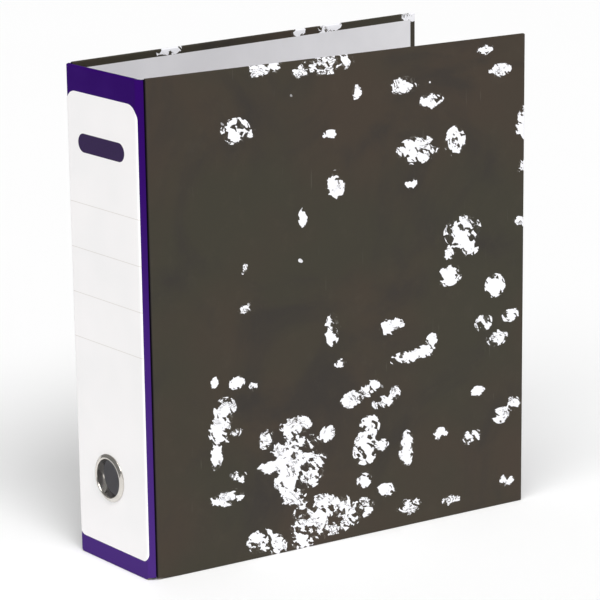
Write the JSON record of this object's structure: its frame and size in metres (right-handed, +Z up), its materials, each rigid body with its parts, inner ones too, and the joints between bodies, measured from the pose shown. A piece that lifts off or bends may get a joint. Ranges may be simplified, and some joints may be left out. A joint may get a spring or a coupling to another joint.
{
  "type": "lever arch file",
  "caption": "Upright paper-covered lever arch file with a labelled spine, finger ring, hinged covers and a riveted lever arch mechanism.",
  "frame": {"origin": "middle of the spine's bottom edge, on the surface that the file stands on", "axes": "+Z up along the spine, +X across the spine from the back cover to the front cover, +Y from the spine to the fore-edge"},
  "size_m": [0.1152, 0.2867, 0.318],
  "materials": {
    "greyboard": "matt",
    "marbled_paper": "satin marbled",
    "purple_cloth_paper": "satin",
    "lining_paper": "matt",
    "label_paper": "matt",
    "ring_nickel": "polished nickel",
    "mechanism_nickel": "nickel plated",
    "arch_nickel": "bright nickel plated",
    "roller_steel": "turned",
    "spring_steel": "drawn wire",
    "black_plastic": "moulded"
  },
  "bodies": {
    "spine": {"spine_board": "greyboard", "spine_covering": "purple_cloth_paper", "spine_lining": "lining_paper", "spine_label": "label_paper", "finger_ring": "ring_nickel", "finger_ring_washer": "ring_nickel", "front_crease": "purple_cloth_paper", "front_crease_lining": "lining_paper", "back_crease": "purple_cloth_paper", "back_crease_lining": "lining_paper"},
    "front_cover": {"front_board": "greyboard", "front_covering": "marbled_paper", "front_lining": "lining_paper"},
    "back_cover": {"back_board": "greyboard", "back_covering": "marbled_paper", "back_lining": "lining_paper", "base_plate": "mechanism_nickel", "base_rivets": "mechanism_nickel", "post_upper": "mechanism_nickel", "post_lower": "mechanism_nickel", "lever_pin": "mechanism_nickel", "arch_spring": "spring_steel"},
    "arches": {"arch_wire": "arch_nickel", "arch_rocker": "mechanism_nickel"},
    "lever": {"lever": "mechanism_nickel", "roller_pin": "mechanism_nickel"},
    "roller": {"roller": "roller_steel"},
    "compressor": {"compressor_bar": "mechanism_nickel", "lock_tab_pins": "mechanism_nickel"},
    "lock_tab_upper": {"lock_tab_upper": "black_plastic"},
    "lock_tab_lower": {"lock_tab_lower": "black_plastic"}
  },
  "joints": [
    {"name": "front_cover_hinge", "type": "hinge", "parent": "spine", "child": "front_cover", "pos_m": [0.0366, 0.002, 0.159], "axis": [0, 0, -1], "range_deg": [-7, 93], "deforming": ["front_crease", "front_crease_lining"]},
    {"name": "back_cover_hinge", "type": "hinge", "parent": "spine", "child": "back_cover", "pos_m": [-0.0366, 0.002, 0.159], "axis": [0, 0, 1], "range_deg": [0, 100], "deforming": ["back_crease", "back_crease_lining"]},
    {"name": "lever_lift", "type": "hinge", "parent": "back_cover", "child": "lever", "pos_m": [-0.02155, 0.0474, 0.197], "axis": [0, -1, 0], "range_deg": [0, 60]},
    {"name": "arch_swing", "type": "hinge", "parent": "back_cover", "child": "arches", "pos_m": [-0.0317, 0.0294, 0.159], "axis": [0, 0, -1], "range_deg": [0, 30], "deforming": ["arch_spring"]},
    {"name": "roller_spin", "type": "hinge", "parent": "lever", "child": "roller", "pos_m": [-0.0244, 0.0474, 0.18596], "axis": [0, 1, 0], "continuous": true},
    {"name": "compressor_slide", "type": "slide", "parent": "back_cover", "child": "compressor", "axis": [1, 0, 0], "range_m": [0, 0.034]},
    {"name": "lock_tab_upper_tip", "type": "hinge", "parent": "compressor", "child": "lock_tab_upper", "pos_m": [-0.03165, 0.0744, 0.211], "axis": [0, -1, 0], "range_deg": [0, 20]},
    {"name": "lock_tab_lower_tip", "type": "hinge", "parent": "compressor", "child": "lock_tab_lower", "pos_m": [-0.03165, 0.0744, 0.107], "axis": [0, 1, 0], "range_deg": [0, 20]}
  ],
  "couplings": [
    {"joint": "arch_swing", "follows": "lever_lift", "ratio": 0.5}
  ]
}
